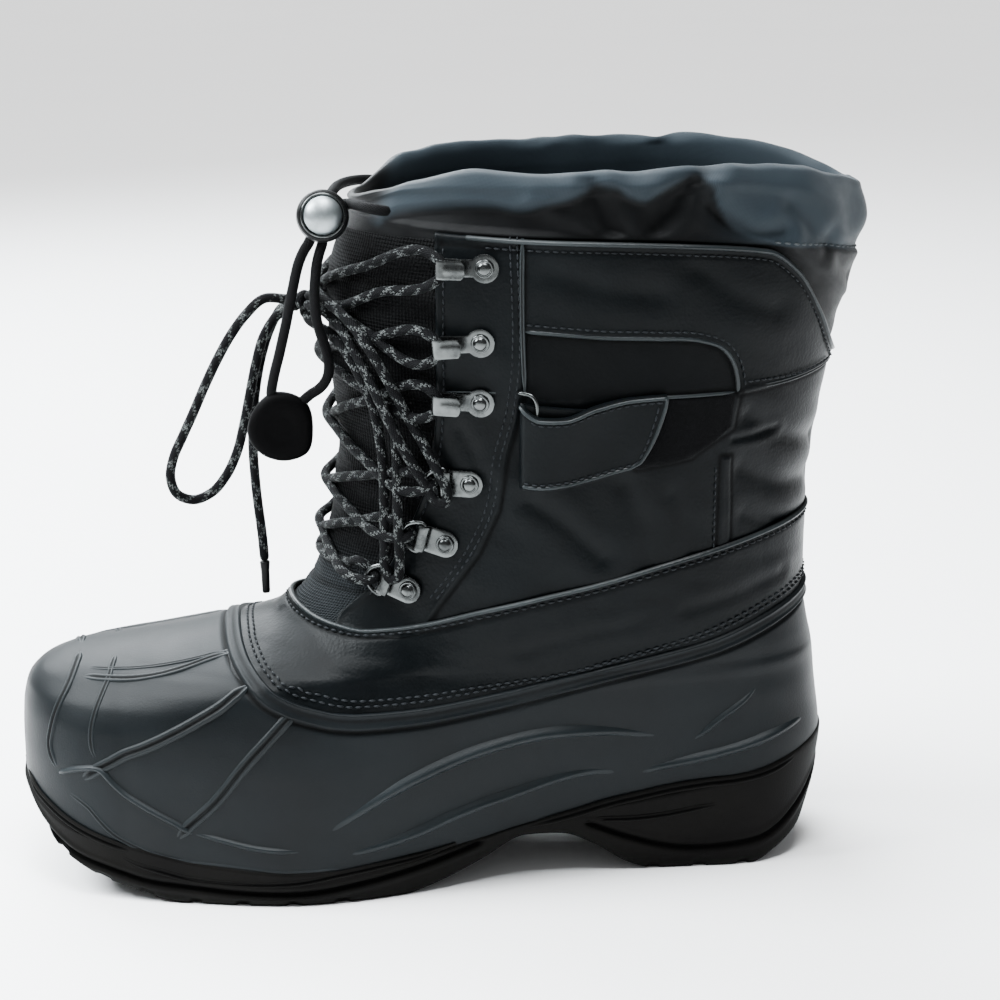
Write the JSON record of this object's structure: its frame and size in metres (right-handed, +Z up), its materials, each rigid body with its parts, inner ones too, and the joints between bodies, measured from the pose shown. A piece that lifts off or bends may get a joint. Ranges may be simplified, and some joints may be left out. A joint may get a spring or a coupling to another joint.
{
  "type": "snow boot",
  "caption": "Insulated snow boot for the left foot: moulded rubber shell and lugged sole, laced leather shaft, instep strap and nylon collar with a drawcord.",
  "frame": {"origin": "middle of the boot's box, without its free cords, on the ground it stands on", "axes": "+X to the toe, +Y to the outer side of this left boot, +Z up"},
  "size_m": [0.3142, 0.1162, 0.268],
  "materials": {
    "shell_rubber": "satin, moulded",
    "sole_rubber": "matte",
    "upper_leather": "fine grain, satin",
    "collar_nylon": "soft nylon, slight sheen",
    "tongue_canvas": "coarse woven",
    "lining_felt": "felt",
    "lace": "braided, with light flecks",
    "steel": "polished",
    "black_plastic": "satin"
  },
  "bodies": {
    "boot": {"outsole": "sole_rubber", "shell": "shell_rubber", "upper": "upper_leather", "insole": "lining_felt", "tongue": "tongue_canvas", "gaiter": "collar_nylon", "strap": "upper_leather", "strap_ring": "steel", "ring_eyelet_outer_1": "steel", "ring_eyelet_inner_1": "steel", "ring_eyelet_outer_2": "steel", "ring_eyelet_inner_2": "steel", "ring_eyelet_outer_3": "steel", "ring_eyelet_inner_3": "steel", "hook_outer_4": "steel", "hook_inner_4": "steel", "hook_outer_5": "steel", "hook_inner_5": "steel", "hook_outer_6": "steel", "hook_inner_6": "steel", "lace_crossings": "lace", "lace_loop_front": "lace", "lace_end_front": "lace", "lace_loop_side": "lace", "lace_tail_side": "lace", "lace_knot": "lace", "lace_tip": "black_plastic", "drawcord_run_near": "black_plastic", "drawcord_run_far": "black_plastic", "drawcord_drop_near": "black_plastic", "drawcord_drop_far": "black_plastic", "lock_body": "black_plastic", "cord_pull": "black_plastic"},
    "lock_button": {"lock_button": "steel"}
  },
  "joints": [
    {"name": "lock_button_press", "type": "slide", "parent": "boot", "child": "lock_button", "axis": [0, -0.9801, -0.1987], "range_m": [0, 0.003], "stiffness_N_per_m": 250, "springref_m": -0.002}
  ]
}
